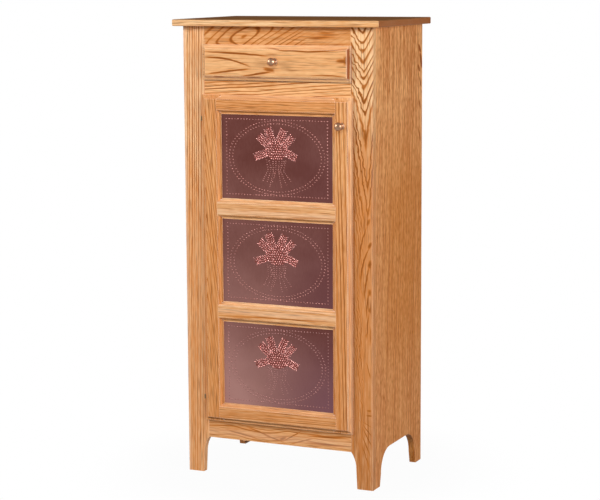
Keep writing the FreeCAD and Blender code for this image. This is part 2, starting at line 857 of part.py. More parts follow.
bottom_half = box_half - dim.drawer_wall + dim.drawer_groove
bottom_low = box_low + dim.drawer_bottom_rise
groove_inset = dim.drawer_wall - dim.drawer_groove
drawer_bottom = node("drawer_bottom", board(
    "drawer_bottom",
    (-bottom_half, box_front + groove_inset, bottom_low),
    (bottom_half, box_back - groove_inset, bottom_low + dim.drawer_bottom_thick),
))
sides = [
    drawer_side("drawer_left_tails", -box_half),
    drawer_side("drawer_right_tails", box_half - dim.drawer_wall),
]
node("drawer_left_side", cut("drawer_left_side", sides[0], drawer_bottom))
node("drawer_right_side", cut("drawer_right_side", sides[1], drawer_bottom))

drawer_middle = (drawer_low + drawer_top) / 2
wall_back = box_front + dim.drawer_wall
drawer_knob_z = drawer_middle + dim.drawer_knob_rise
drawer_knob_screw = node("drawer_knob_screw", screw(
    "drawer_knob_screw", (0, wall_back, drawer_knob_z), (0, -1, 0),
    dim.drawer_wall + dim.front_thick + dim.knob_screw_bite, dim.knob_screw_radius))
knob("drawer_knob", 0, drawer_knob_z, drawer_knob_screw)
front_screws = []
for side in (-1, 1):
    seat = (dim.front_screw_reach * side, wall_back, drawer_middle)
    front_screws.append(screw("front_screw", seat, (0, -1, 0), dim.drawer_wall + dim.front_screw_bite))
front_screws = node("drawer_front_screws", group("drawer_front_screws", front_screws))
back_inner = box_back - dim.drawer_wall
front_wall = board("box_front", (-box_half, box_front, box_low), (box_half, wall_back, box_high))
back_wall = board("box_back", (-box_half, back_inner, box_low), (box_half, box_back, box_high))
node("drawer_box_front", cut(
    "drawer_box_front", front_wall, *sides, drawer_bottom, drawer_knob_screw, front_screws))
node("drawer_back", cut("drawer_back", back_wall, *sides, drawer_bottom))

lipped_half = half_opening + dim.drawer_lip_side
lipped_low = drawer_low - dim.drawer_lip_end
lipped_high = drawer_top + dim.drawer_lip_end
side_rebate = dim.drawer_lip_side + dim.drawer_gap
outline = edge_run(-lipped_half, 1, 0, side_rebate) + backwards(edge_run(lipped_half, -1, 0, side_rebate))
lipped = new_body("drawer_front_moulded", 0, front_plane, lipped_low)
pad(lipped, sketch(lipped, "XY_Plane", outline), lipped_high - lipped_low)
drawer_trim = end_trim(
    "drawer_trim", lipped_low, lipped_high, dim.drawer_lip_end + dim.drawer_gap, lipped_half * 2)
node("drawer_front", cut("drawer_front", lipped, drawer_trim, drawer_knob_screw, front_screws))
half_stop = dim.stop_width / 2
node("drawer_stop", board(
    "drawer_stop",
    (-half_stop, back_inner - dim.stop_thick, box_high - dim.stop_seat),
    (half_stop, back_inner, box_high + dim.stop_rise),
))

doc.recompute()
for item in doc.Objects:
    if "Invalid" in item.State or "Error" in item.State:
        raise RuntimeError(f"{item.Name} did not build: {item.State}")
for piece in pieces:
    if piece.Shape.isNull() or not piece.Shape.isValid():
        raise RuntimeError(f"{piece.Label} has no sound solid")
os.makedirs("parts", exist_ok=True)
for piece in pieces:
    piece.Shape.exportStep(f"parts/{piece.Label}.step")
    solids = len(piece.Shape.Solids)
    print(f"{piece.Label}: {solids} solid(s), {piece.Shape.Volume / 1000:.1f} cm3")
print(f"{len(pieces)} pieces")
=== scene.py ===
import bpy
import bmesh
import json
import math
from mathutils import Matrix, Vector
from random import Random


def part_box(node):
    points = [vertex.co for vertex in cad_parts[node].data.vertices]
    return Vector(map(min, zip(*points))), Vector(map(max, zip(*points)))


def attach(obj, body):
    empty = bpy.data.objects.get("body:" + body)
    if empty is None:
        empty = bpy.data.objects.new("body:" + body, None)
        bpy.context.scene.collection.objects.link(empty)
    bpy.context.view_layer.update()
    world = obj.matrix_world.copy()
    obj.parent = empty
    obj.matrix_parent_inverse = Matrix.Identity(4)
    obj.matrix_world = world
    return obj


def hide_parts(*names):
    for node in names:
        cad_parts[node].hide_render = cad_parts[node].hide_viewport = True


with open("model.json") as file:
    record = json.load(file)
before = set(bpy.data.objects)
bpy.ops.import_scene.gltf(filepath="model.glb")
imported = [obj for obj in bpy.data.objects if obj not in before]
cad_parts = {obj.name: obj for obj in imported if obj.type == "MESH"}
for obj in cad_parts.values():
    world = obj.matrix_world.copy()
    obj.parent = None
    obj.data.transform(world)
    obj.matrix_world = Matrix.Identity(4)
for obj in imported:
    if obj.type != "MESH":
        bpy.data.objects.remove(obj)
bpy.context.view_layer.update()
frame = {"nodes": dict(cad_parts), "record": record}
nodes = frame["nodes"]
scene = bpy.context.scene
print("frame loaded:", len(nodes), "nodes")


class Value:  # a shader socket that takes part in Python sums

    def __init__(self, finish, socket):
        self.finish = finish
        self.socket = socket

    def maths(self, operation, *terms):
        return self.finish.node("ShaderNodeMath", {"operation": operation}, dict(enumerate(terms)))

    def __add__(self, other):
        return self.maths("ADD", self, other)

    def __sub__(self, other):
        return self.maths("SUBTRACT", self, other)

    def __rsub__(self, other):
        return self.maths("SUBTRACT", other, self)

    def __mul__(self, other):
        return self.maths("MULTIPLY", self, other)

    def __truediv__(self, other):
        return self.maths("DIVIDE", self, other)

    def __rtruediv__(self, other):
        return self.maths("DIVIDE", other, self)

    def __pow__(self, other):
        return self.maths("POWER", self, other)

    def __rpow__(self, other):
        return self.maths("POWER", other, self)

    def __gt__(self, other):
        return self.maths("GREATER_THAN", self, other)

    def __abs__(self):
        return self.maths("ABSOLUTE", self)

    __radd__ = __add__
    __rmul__ = __mul__

    def part(self):
        return self.maths("FRACT", self)

    def whole(self):
        return self.maths("FLOOR", self)

    def most(self, other):
        return self.maths("MINIMUM", self, other)

    def least(self, other):
        return self.maths("MAXIMUM", self, other)

    def softStep(self, low, high):
        settings = {"interpolation_type": "SMOOTHSTEP"}
        inputs = {"Value": self, "From Min": low, "From Max": high}
        return self.finish.node("ShaderNodeMapRange", settings, inputs)


class Finish:  # a material under construction

    def __init__(self, name, shading):
        self.material = bpy.data.materials.new(name)
        self.material.use_nodes = True
        self.tree = self.material.node_tree
        self.shader = self.tree.nodes["Principled BSDF"]
        for socket, value in shading.items():
            self.shader.inputs[socket].default_value = value
        self.point = self.coords("Object")

    def node(self, kind, settings=None, inputs=None, output=0):
        item = self.tree.nodes.new(kind)
        for name, value in (settings or {}).items():
            setattr(item, name, value)
        for name, value in (inputs or {}).items():
            self.feed(item.inputs[name], value)
        return Value(self, item.outputs[output])

    def feed(self, socket, value):
        if isinstance(value, Value):
            self.tree.links.new(value.socket, socket)
        else:
            socket.default_value = value

    def wear(self, **looks):
        for name, value in looks.items():
            self.feed(self.shader.inputs[name.replace("_", " ")], value)

    def coords(self, output):
        return self.node("ShaderNodeTexCoord", output=output)

    def ray(self, kind):  # 1 for rays of that kind
        return self.node("ShaderNodeLightPath", output="Is " + kind + " Ray")

    def axes(self, vector):
        parts = self.node("ShaderNodeSeparateXYZ", inputs={0: vector})
        return {axis: Value(self, parts.socket.node.outputs[axis.upper()]) for axis in "xyz"}

    def noise(self, rates, shift, detail=0.0):  # rates are waves per metre along x, y and z
        settings = {"operation": "MULTIPLY_ADD"}
        place = self.node("ShaderNodeVectorMath", settings, {0: self.point, 1: rates, 2: shift})
        inputs = {"Vector": place, "Scale": 1.0, "Detail": detail}
        return self.node("ShaderNodeTexNoise", {"noise_dimensions": "3D"}, inputs)

    def lineNoise(self, value, scale):
        inputs = {"W": value, "Scale": scale, "Detail": 0.0}
        return self.node("ShaderNodeTexNoise", {"noise_dimensions": "1D"}, inputs)

    def mix(self, share, first, second):
        settings = {"data_type": "RGBA", "clamp_factor": True}
        return self.node("ShaderNodeMix", settings, {0: share, 6: first, 7: second}, output=2)

    def bump(self, height, distance, strength):
        inputs = {"Height": height, "Distance": distance, "Strength": strength}
        return self.node("ShaderNodeBump", inputs=inputs)


def rgb(red, green, blue):  # a picture's 0 to 255 tones, as linear light
    tones = [tone / 255 for tone in (red, green, blue)]
    linear = (((tone + 0.055) / 1.055) ** 2.4 if tone > 0.04 else tone / 12.92 for tone in tones)
    return (*linear, 1.0)


def dress(name, material):
    mesh = nodes[name].data
    mesh.materials.clear()
    mesh.materials.append(material)


# Oak. Each board has its own figure: crown is where its rings peak, as (across, along), and the rings
# count side per metre across and climb per metre along, so a crown off the board gives straight lines,
# one at an end gives cathedrals and one on the board gives closed loops.
oakTones = {
    "front": {"pale": rgb(249, 195, 138), "deep": rgb(214, 136, 68),
              "amber": rgb(206, 122, 50), "line": rgb(152, 84, 30)},
    "figured": {"pale": rgb(253, 212, 162), "deep": rgb(230, 162, 98),
                "amber": rgb(204, 122, 52), "line": rgb(146, 82, 30), "gold": rgb(186, 116, 62)},
    "ruddy": {"pale": rgb(254, 214, 166), "deep": rgb(231, 161, 98),
              "amber": rgb(222, 130, 56), "line": rgb(172, 94, 38)},
    "side": {"pale": rgb(249, 184, 121), "deep": rgb(205, 128, 68),
             "amber": rgb(184, 102, 40), "line": rgb(150, 80, 30), "gold": rgb(208, 126, 42)},
    "inside": {"pale": rgb(232, 176, 124), "deep": rgb(214, 150, 98),
               "amber": rgb(196, 130, 76), "line": rgb(160, 98, 50)},
}
# tones over the grain: pores, a pale one for wear and painted highlights, painted shadow, end grain, painted
# shade on top
oakMarks = {"pore": rgb(146, 82, 32), "rub": rgb(255, 224, 196), "paintedShade": rgb(112, 74, 42),
            "end": rgb(148, 78, 34), "top": rgb(146, 98, 58)}
oakGrain = {  # what all boards share
    "ior": 1.5,
    "shift": (1.37, 0.71, 2.11),  # of the noise, from board to board
    "stave": (0.31, 0.043),  # shift of the figure at a glue line, along and across
    "slantRange": (-0.05, 0.06),  # metres past the crown
    "jagAlong": 2.0,  # jag along the board, against that across
    "intoBoard": 38.0,  # rings per metre of depth
    "uneven": (0.45, 1.1),  # how often the rings' spacing changes, and how far
    "lineAt": 0.2,  # where in a ring its dark line lies
    "tail": (6.0, 3.0, 0.6),  # rise, fall and share of the tone behind the line
    "lineTone": (0.6, 0.45),  # range and least, from ring to ring
    "patch": (9.0, 2.4), "patchTone": (1.6, 0.2),  # rates across and along, range and least
    "behindFace": (0.0006, 0.0024, 0.75),  # depths between which the figure weakens, and by how much
    "waver": 0.005,  # of a vein
    "fibreAlong": 7.0, "fibreTone": (0.7, 0.65),
    "poreLevel": 0.56, "poreDepth": 6.0, "poreInLine": 0.4,
    "broad": (11.0, 1.1), "broadLevel": 0.24, "broadShare": 1.5,
    "fineAmber": 0.6, "finePale": -0.4,
    "amberShare": 2.2, "lineShare": 1.9, "lineLeast": 0.6,
    "endRange": (0.08, 0.5),
    "corner": 0.0016,  # radius of the pale corners: wear and a painted highlight
    "rough": 0.38, "roughLine": 0.1, "roughPore": 0.12, "roughFibre": 0.08,
    "cutLine": 0.15, "cutPore": 0.35, "cut": (0.0002, 0.4),
}
plainBoard = {
    "tones": "front", "axes": "zx", "specular": 0.16,  # the axes along and across
    "crown": (0.0, 0.0), "side": 90.0, "climb": 2.0, "round": (0.004, 0.012),
    "ease": None, "spread": 0.0, "lean": 0.0, "slant": 0.0,  # how the rings bend away from the crown
    "wander": (0.008, 7.0, 1.7), "jag": (0.0016, 46.0, 15.0),  # size, rates across and along
    "line": 0.5, "bold": 5.0, "fade": None, "bare": None, "face": None, "veins": (),
    "fibre": 300.0, "streak": 1.7, "fleck": (300.0, 42.0, 1.3), "pore": (430.0, 19.0, 0.4),
    "staves": (),  # edge and change of tone of each board glued on
    "tint": 0.0, "dusk": None, "shade": rgb(220, 144, 80), "gild": None,  # the tone of the whole board
    "worn": None, "ends": 0.12, "washes": (), "rub": 0.0, "top": 0.0,  # wear and end grain, with painted shadows, highlights and shade on top
}


class Board(Finish):  # the oak of one board

    def __init__(self, name, figure):
        self.look = plainBoard | figure
        self.tones = oakTones[self.look["tones"]]
        super().__init__(name + "Oak", {"Specular IOR Level": self.look["specular"], "IOR": oakGrain["ior"]})
        # a number of the board's own, from its name, so that no two boards share their noise
        number = sum(ord(letter) * (place + 3) for place, letter in enumerate(name)) % 97
        self.shift = tuple(number * rate for rate in oakGrain["shift"])
        axes = self.axes(self.point)
        self.alongAxis, acrossAxis = self.look["axes"]
        self.along, self.across = axes[self.alongAxis], axes[acrossAxis]
        self.depth = axes[({"x", "y", "z"} - set(self.look["axes"])).pop()]
        self.normal = self.axes(self.coords("Normal"))
        self.endGrain = self.normal[self.alongAxis] * self.normal[self.alongAxis]

    def grain(self, acrossRate, alongRate, detail=0.0):
        rates = tuple(alongRate if axis == self.alongAxis else acrossRate for axis in "xyz")
        return self.noise(rates, self.shift, detail)

    def stroke(self, mark, waver=0.0):  # a band that bows across the board and fades at its ends
        middle, half, level, slope, bow, width, strength = mark
        share = (self.along - middle) / half
        square = share * share
        gap = (self.across - level - share * slope - square * bow + waver) / width
        return (1.0 - gap * gap).least(0.0) * (1.0 - square).least(0.0) * strength

    def countRings(self, ragged):  # rings between a point and the crown
        look = self.look
        along, across = self.along, self.across
        for edge, _ in look["staves"]:  # boards glued edge to edge
            beyond = self.across > edge
            along = along + beyond * (oakGrain["stave"][0] + edge)
            across = across + beyond * oakGrain["stave"][1]
        wanderSize, *wanderRates = look["wander"]
        wander = (self.grain(*wanderRates, 1.0) - 0.5) * wanderSize
        jag = ragged * look["jag"][0]
        crownAcross, crownAlong = look["crown"]
        run = along - crownAlong + jag * oakGrain["jagAlong"]
        lateral = across - crownAcross - run * look["lean"] + wander + jag
        if look["slant"]:  # the rings past the crown lie over
            run = run - lateral * run.softStep(*oakGrain["slantRange"]) * look["slant"]
        roundAcross, roundAlong = look["round"]
        spread = (lateral * lateral + roundAcross ** 2) ** 0.5
        reach = (run * run + roundAlong ** 2) ** 0.5
        rings = spread * look["side"] * (1.0 + reach * look["spread"]) + self.depth * oakGrain["intoBoard"]
        if look["ease"]:  # past this reach the rings lie further apart
            bend, share = look["ease"]
            reach = reach * share + reach.maths("SMOOTH_MIN", reach, bend, bend / 2) * (1.0 - share)
        rings = rings + reach * look["climb"]
        often, far = oakGrain["uneven"]
        return rings + (self.lineNoise(rings, often) - 0.5) * far

    def ringLines(self, ragged):
        look = self.look
        rings = self.countRings(ragged)
        turn = rings.part()
        tone = self.node("ShaderNodeTexWhiteNoise", {"noise_dimensions": "1D"}, {"W": rings.whole()})
        core = (1.0 - abs(turn - oakGrain["lineAt"]) * look["bold"]).least(0.0)
        rise, fall, tailShare = oakGrain["tail"]
        tail = (turn * rise).most(1.0) * ((1.0 - turn) ** fall) * tailShare
        toneRange, toneLeast = oakGrain["lineTone"]
        patchRange, patchLeast = oakGrain["patchTone"]
        line = core.least(tail) * (tone * toneRange + toneLeast)
        line = line * (self.grain(*oakGrain["patch"]) * patchRange + patchLeast) * look["line"]
        if look["fade"]:  # lines that weaken along the board
            start, stop, amount = look["fade"]
            line = line * (1.0 - self.along.softStep(start, stop) * amount)
        if look["bare"]:  # a corner of the board without rings
            alongRange, acrossRange = look["bare"]
            line = line * (1.0 - self.along.softStep(*alongRange) * self.across.softStep(*acrossRange))
        if look["face"]:  # the mouldings behind the front face show less of the figure
            near, far, amount = oakGrain["behindFace"]
            line = line * (1.0 - self.depth.softStep(look["face"] + near, look["face"] + far) * amount)
        for vein in look["veins"]:
            line = line.least(self.stroke(vein, ragged * oakGrain["waver"]))
        return line

    def bareWood(self, fibre):  # the tone between the lines
        look, tones = self.look, self.tones
        fleckAcross, fleckAlong, fleckShare = look["fleck"]
        fleck = (self.grain(fleckAcross, fleckAlong, 1.0) - 0.5) * fleckShare
        fine = fleck + (fibre - 0.5) * look["streak"]
        broad = self.grain(*oakGrain["broad"], 1.0)
        deep = (broad - oakGrain["broadLevel"]) * oakGrain["broadShare"] + fine
        for edge, tone in look["staves"]:
            deep = deep + (self.across > edge) * tone
        colour = self.mix(deep, tones["pale"], tones["deep"])
        tint = look["tint"]
        if look["dusk"]:  # a board that darkens along its length
            start, stop, amount = look["dusk"]
            tint = self.along.softStep(start, stop) * amount + tint
        if look["tint"] or look["dusk"]:  # the tone changes, the fine grain stays
            colour = self.mix(tint, colour, look["shade"])
            if look["gild"]:  # a stretch with more gold in it
                acrossRange, alongRange, footRange, amount = look["gild"]
                gild = self.across.softStep(*acrossRange) * self.along.softStep(*alongRange) * amount
                gild = gild * (self.along.softStep(*footRange) * 0.5 + 0.5)
                colour = self.mix(gild, colour, tones["gold"])
                tint = tint + gild
            colour = self.mix(fine * tint * oakGrain["fineAmber"], colour, tones["amber"])
            colour = self.mix(fine * tint * oakGrain["finePale"], colour, tones["pale"])
        return colour

    def wearAndPaintedLight(self, colour):  # wear, end grain, painted shadows, highlights and the painted shade on top, over the grain
        look = self.look
        if look["worn"]:  # the front is paler towards one edge: wear and a painted highlight on the arris
            start, stop, amount = look["worn"]
            edge = self.across.softStep(start, stop) * (0.0 - self.normal["y"])
            colour = self.mix(edge * amount, colour, oakMarks["rub"])
        ends = self.endGrain.softStep(*oakGrain["endRange"]) * look["ends"]
        colour = self.mix(ends, colour, oakMarks["end"])
        # painted shadows, shade and highlights, each band a stroke in its tone
        for tone, mark in look["washes"]:
            colour = self.mix(self.stroke(mark), colour, oakMarks[tone])
        if look["rub"]:  # corners paler: rubbed wear and a painted highlight on the arrises
            rounded = self.node("ShaderNodeBevel", {"samples": 4}, {"Radius": oakGrain["corner"]})
            facing = self.node("ShaderNodeNewGeometry", output="Normal")
            inputs = {0: rounded, 1: facing}
            level = self.node("ShaderNodeVectorMath", {"operation": "DOT_PRODUCT"}, inputs, "Value")
            colour = self.mix((1.0 - level) * look["rub"], colour, oakMarks["rub"])
        if look["top"]:  # what faces up is darker: painted shade
            colour = self.mix(self.normal["z"] * look["top"], colour, oakMarks["top"])
        return colour


def oakFinish(name, figure):
    board = Board(name, figure)
    look, tones = board.look, board.tones
    flat = 1.0 - board.endGrain
    ragged = board.grain(*look["jag"][1:], 1.0) - 0.5
    fibre = board.grain(look["fibre"], oakGrain["fibreAlong"], 1.0)
    poreAcross, poreAlong, poreShare = look["pore"]
    pores = (board.grain(poreAcross, poreAlong) - oakGrain["poreLevel"]).least(0.0)
    pores = pores * oakGrain["poreDepth"] * flat
    fibreRange, fibreLeast = oakGrain["fibreTone"]
    line = board.ringLines(ragged) * (fibre * fibreRange + fibreLeast) * flat
    colour = board.bareWood(fibre)
    colour = board.mix(line * oakGrain["amberShare"], colour, tones["amber"])
    colour = board.mix(line * oakGrain["lineShare"] - oakGrain["lineLeast"], colour, tones["line"])
    colour = board.mix(pores * (line * oakGrain["poreInLine"] + poreShare), colour, oakMarks["pore"])
    colour = board.wearAndPaintedLight(colour)
    rough = line * oakGrain["roughLine"] + pores * oakGrain["roughPore"]
    rough = rough + fibre * oakGrain["roughFibre"] + oakGrain["rough"]
    relief = 0.0 - line * oakGrain["cutLine"] - pores * oakGrain["cutPore"]
    board.wear(Base_Color=colour, Roughness=rough, Normal=board.bump(relief, *oakGrain["cut"]))
    return board.material


# Veins are single dark lines, and the bands are soft strokes of another tone that paint shadows, shade
# and highlights. Each is a stroke: its middle and half length along the board, its level across it,
# slope and bow, half width and strength.
frameFace, doorFace = -0.169, -0.182  # where their front faces lie, in metres
showBoard = {"rub": 2.0}  # boards that show have pale corners: wear and painted highlights
sideBoard = {
    "tones": "side", "axes": "zy", "crown": (-0.3, 1.6), "climb": 3.0, "specular": 0.12, "line": 0.4,
    "fibre": 140.0, "fleck": (150.0, 50.0, 2.2), "pore": (200.0, 60.0, 0.25), "dusk": (1.15, 0.9, 0.3),
}
oakBoards = {
    "top_board": {
        "tones": "figured", "axes": "xy", "crown": (-0.42, 0.0), "side": 70.0, "wander": (0.02, 7.0, 1.7),
        # its upward face darkened: painted shade
        "line": 0.3, "streak": 1.1, "fleck": (300.0, 42.0, 1.0), "ends": 0.86, "specular": 0.05, "top": 0.92,
        "staves": ((-0.09, 0.2), (0.03, -0.15), (0.12, 0.15)),
    },
    "left_stile": {
        "tones": "ruddy", "crown": (-0.36, 1.6), "side": 132.0, "climb": 2.5, "wander": (0.006, 7.0, 1.7),
        "line": 0.9, "tint": 0.1, "dusk": (1.0, 0.72, 0.4), "face": frameFace,
        # its outer corner pale: wear and a painted highlight
        "worn": (-0.2815, -0.286, 0.25),
    },
    "right_stile": {
        "tones": "figured", "crown": (0.2585, 1.31), "side": 64.0, "climb": 40.6, "ease": (0.22, 0.25),
        "spread": 1.4, "round": (0.005, 0.012), "lean": -0.034, "wander": (0.006, 9.0, 4.0),
        "jag": (0.0082, 75.0, 60.0), "line": 1.15, "bold": 3.8, "fade": (1.02, 0.75, 0.45),
        "bare": ((0.8, 0.72), (0.255, 0.268)), "dusk": (1.16, 0.86, 0.95), "shade": rgb(210, 137, 77),
        "gild": ((0.2, 0.21), (0.3, 0.06), (-0.2, -0.1), 0.55), "face": frameFace,
        # a pale corner, wear and a painted highlight, and a painted shadow beside the door's edge
        "worn": (0.284, 0.2875, 0.1), "rub": 0.9,
        "washes": (("paintedShade", (0.68, 0.75, 0.2342, 0.0, 0.0, 0.0026, 0.45)),),
        "veins": (
            (0.7, 0.06, 0.2566, 0.0132, 0.0066, 0.0028, 0.8), (0.763, 0.012, 0.277, 0.003, 0.0, 0.006, 0.7),
            (0.645, 0.06, 0.2616, 0.0162, 0.0081, 0.003, 0.9), (0.698, 0.012, 0.281, 0.003, 0.0, 0.006, 0.8),
            (0.595, 0.055, 0.2696, 0.0083, 0.0041, 0.003, 0.9),
            (0.645, 0.014, 0.281, 0.0015, 0.0, 0.006, 0.8),
            (0.53, 0.045, 0.2728, 0.0055, 0.0028, 0.0028, 0.8), (0.566, 0.012, 0.281, 0.0, 0.0, 0.006, 0.7),
            (0.47, 0.045, 0.2735, 0.0045, 0.0022, 0.0026, 0.7), (0.516, 0.009, 0.281, 0.0, 0.0, 0.004, 0.6),
            (0.445, 0.03, 0.2825, 0.0, 0.0, 0.0025, 0.6), (0.345, 0.025, 0.277, -0.006, 0.0, 0.002, 0.7),
            (0.23, 0.004, 0.279, 0.0, 0.0, 0.008, 0.6), (0.216, 0.003, 0.279, 0.0, 0.0, 0.01, 0.7),
            (0.19, 0.008, 0.274, -0.016, 0.0, 0.003, 0.6), (0.173, 0.018, 0.274, -0.015, 0.0, 0.0022, 0.8),
            (0.155, 0.03, 0.2725, -0.016, 0.0, 0.0022, 0.8), (0.13, 0.035, 0.27, -0.015, 0.0, 0.002, 0.8),
            (0.1, 0.04, 0.268, -0.014, 0.0, 0.002, 0.7), (0.062, 0.04, 0.278, -0.012, 0.0, 0.0014, 0.5),
        ),
    },
    "top_rail": {
        "axes": "xz", "crown": (1.269, -0.1), "side": 46.0, "climb": 27.0, "lean": 0.2, "slant": 1.3,
        "round": (0.008, 0.014), "jag": (0.004, 60.0, 40.0), "wander": (0.006, 7.0, 1.7), "line": 1.25,
        "fade": (0.05, 0.1, 0.85), "tint": 0.45, "shade": rgb(210, 146, 86),
        "veins": ((0.137, 0.042, 1.268, 0.003, 0.0, 0.007, 0.5), (0.15, 0.03, 1.281, 0.0, 0.001, 0.004, 0.5)),
    },
    "drawer_rail": {
        "axes": "xz", "crown": (1.02, -0.3), "side": 95.0, "climb": 0.0, "lean": 0.09,
        "wander": (0.022, 7.0, 4.0), "jag": (0.004, 60.0, 20.0), "line": 0.85,
        # a painted shadow under the drawer's lip
        "washes": (("paintedShade", (0.0, 0.45, 1.1445, 0.0, 0.0, 0.0024, 0.75)),),
    },
    "bottom_rail": {
        "axes": "xz", "crown": (0.05, 0.2), "side": 88.0, "climb": 3.0, "wander": (0.075, 6.0, 5.5),
        "jag": (0.004, 46.0, 15.0), "line": 0.7, "tint": 0.35, "shade": rgb(214, 147, 90),
        # a painted shadow below the door, and a paler band lower down
        "washes": (("paintedShade", (0.0, 0.5, 0.1535, 0.0, 0.0, 0.0085, 0.45)),
                   ("rub", (0.0, 0.5, 0.125, 0.0, 0.0, 0.012, 0.16))),
        "veins": (
            (-0.117, 0.06, 0.1245, -0.0105, 0.0, 0.003, 0.75),
            (-0.0165, 0.035, 0.121, -0.008, 0.0, 0.0028, 0.75),
            (-0.06, 0.045, 0.135, -0.013, 0.0, 0.0026, 0.7), (0.012, 0.014, 0.124, 0.006, 0.0, 0.006, 0.65),
            (0.0405, 0.034, 0.1335, 0.0205, 0.0, 0.0026, 0.75),
            (0.07, 0.04, 0.122, 0.013, -0.002, 0.0026, 0.7),
            (0.15, 0.075, 0.12, 0.0, 0.001, 0.0035, 0.75), (0.155, 0.07, 0.142, 0.002, 0.0, 0.0035, 0.75),
        ),
    },
    "drawer_front": {
        "axes": "xz", "crown": (1.0, -0.35), "side": 60.0, "climb": 2.0, "lean": 0.02, "face": doorFace,
        "wander": (0.012, 7.0, 1.7), "jag": (0.003, 46.0, 20.0), "line": 0.1, "streak": 1.0,
        # its top edge pale: wear and a painted highlight
        "fleck": (300.0, 42.0, 0.8), "ends": 1.0, "tint": 0.05, "worn": (1.231, 1.239, 0.14),
        # painted shade, highlights and gap shadows along the lip's bottom and right end
        "washes": (
            ("paintedShade", (0.0, 0.6, 1.1592, 0.0, 0.0, 0.0032, 0.16)),
            ("rub", (0.0, 0.6, 1.154, 0.0, 0.0, 0.003, 0.35)),
            ("paintedShade", (0.0, 0.6, 1.1478, 0.0, 0.0, 0.0034, 0.35)),
            ("rub", (0.2174, 0.0018, 1.194, 0.0, 0.0, 0.07, 0.36)),
            ("end", (0.2222, 0.003, 1.194, 0.0, 0.0, 0.07, 0.6)),
            ("rub", (0.2257, 0.0016, 1.194, 0.0, 0.0, 0.07, 0.75)),
            ("end", (0.2284, 0.0018, 1.194, 0.0, 0.0, 0.07, 0.8)),
        ),
        "veins": (
            (-0.116, 0.115, 1.2222, -0.0055, -0.0025, 0.0031, 1.05),
            (-0.146, 0.078, 1.2065, -0.0125, -0.012, 0.0031, 1.05),
            (-0.142, 0.074, 1.1725, 0.0095, -0.002, 0.0031, 1.05),
            (-0.055, 0.052, 1.1655, 0.0075, 0.001, 0.0033, 1.05),
            (-0.017, 0.02, 1.178, -0.003, 0.0, 0.006, 0.7), (0.096, 0.135, 1.2292, 0.0, 0.0125, 0.0026, 0.95),
            (0.162, 0.058, 1.165, -0.001, -0.0025, 0.0021, 0.7), (-0.174, 0.02, 1.1555, 0.0, 0.0, 0.003, 0.7),
            (-0.065, 0.026, 1.1555, 0.0, 0.0, 0.003, 0.7), (0.206, 0.022, 1.2055, 0.0, 0.0, 0.006, 0.75),
            (0.22, 0.014, 1.206, 0.0, 0.0, 0.015, 0.8),
        ),
    },
    "door_hinge_stile": {
        "crown": (-0.218, 0.02), "side": 120.0, "climb": 17.0, "wander": (0.014, 8.0, 2.6), "line": 0.56,
        "jag": (0.003, 46.0, 10.0), "tint": 0.5, "dusk": (0.9, 0.5, 0.2), "shade": rgb(214, 140, 78),
        "face": doorFace,
    },
    "door_latch_stile": {
        "crown": (0.294, 1.3), "side": 88.0, "climb": 2.0, "wander": (0.01, 7.0, 2.0), "line": 0.85,
        # a pale lip edge, wear and a painted highlight, and painted shade along its outer edge
        "dusk": (1.0, 0.7, 0.6), "shade": rgb(214, 138, 78), "face": doorFace, "worn": (0.2155, 0.22, 0.2),
        "washes": (("end", (0.63, 0.9, 0.232, 0.0, 0.0, 0.0022, 0.5)),),
    },
    "door_top_rail": {
        "axes": "xz", "crown": (1.2, 0.1), "side": 150.0, "climb": 4.0, "wander": (0.012, 7.0, 3.0),
        # its top edge pale: wear and a painted highlight
        "line": 0.5, "face": doorFace, "tint": 0.6, "worn": (1.0905, 1.098, 0.14),
    },
    "door_upper_rail": {
        "tones": "figured", "axes": "xz", "crown": (0.70, 0.3), "side": 120.0, "climb": 4.0,
        # its top edge pale: wear and a painted highlight
        "wander": (0.03, 7.0, 4.5), "line": 0.5, "face": doorFace, "tint": 0.32, "worn": (0.794, 0.799, 0.12),
        "veins": ((-0.05, 0.25, 0.787, 0.002, 0.0, 0.004, 0.25),
                  (0.12, 0.1, 0.768, 0.003, -0.002, 0.0024, 0.5)),
        # a painted highlight along the rail's moulding
        "washes": (("rub", (0.0, 0.5, 0.7735, 0.0, 0.0, 0.009, 0.24)),),
    },
    "door_lower_rail": {
        "tones": "figured", "axes": "xz", "crown": (0.45, -0.1), "side": 90.0, "climb": 5.0,
        "wander": (0.03, 7.0, 4.0), "line": 0.5, "face": doorFace, "tint": 0.22,
        # its top edge pale: wear and a painted highlight
        "worn": (0.4965, 0.5015, 0.18),
        "veins": ((0.02, 0.24, 0.4752, 0.003, -0.002, 0.0028, 0.5),),
        # a painted highlight along the rail's moulding
        "washes": (("rub", (0.0, 0.5, 0.486, 0.0, 0.0, 0.0095, 0.26)),),
    },
    "door_bottom_rail": {
        "axes": "xz", "crown": (0.12, 0.2), "side": 150.0, "climb": 3.0, "wander": (0.012, 7.0, 3.0),
        # its top edge pale: wear and a painted highlight
        "line": 0.6, "face": doorFace, "tint": 0.5, "shade": rgb(216, 150, 96), "worn": (0.198, 0.205, 0.12),
    },
    "left_side": sideBoard | {
        "side": 70.0, "wander": (0.016, 7.0, 1.7), "staves": ((-0.012, 0.1), (0.075, -0.1), (0.163, 0.1)),
    },
    "right_side": sideBoard | {
        "side": 52.0, "wander": (0.03, 7.0, 2.2), "gild": ((-0.17, -0.01), (1.1, 0.75), (0.2, 0.5), 0.75),
        # pale corners: wear and a painted highlight
        "rub": 0.7, "staves": ((-0.5, 0.14), (-0.085, -0.12), (0.02, 0.16), (0.163, -0.2)),
        "veins": (
            (1.227, 0.014, 0.187, -0.008, 0.0, 0.009, 1.0), (1.192, 0.026, 0.198, -0.008, 0.0, 0.009, 1.0),
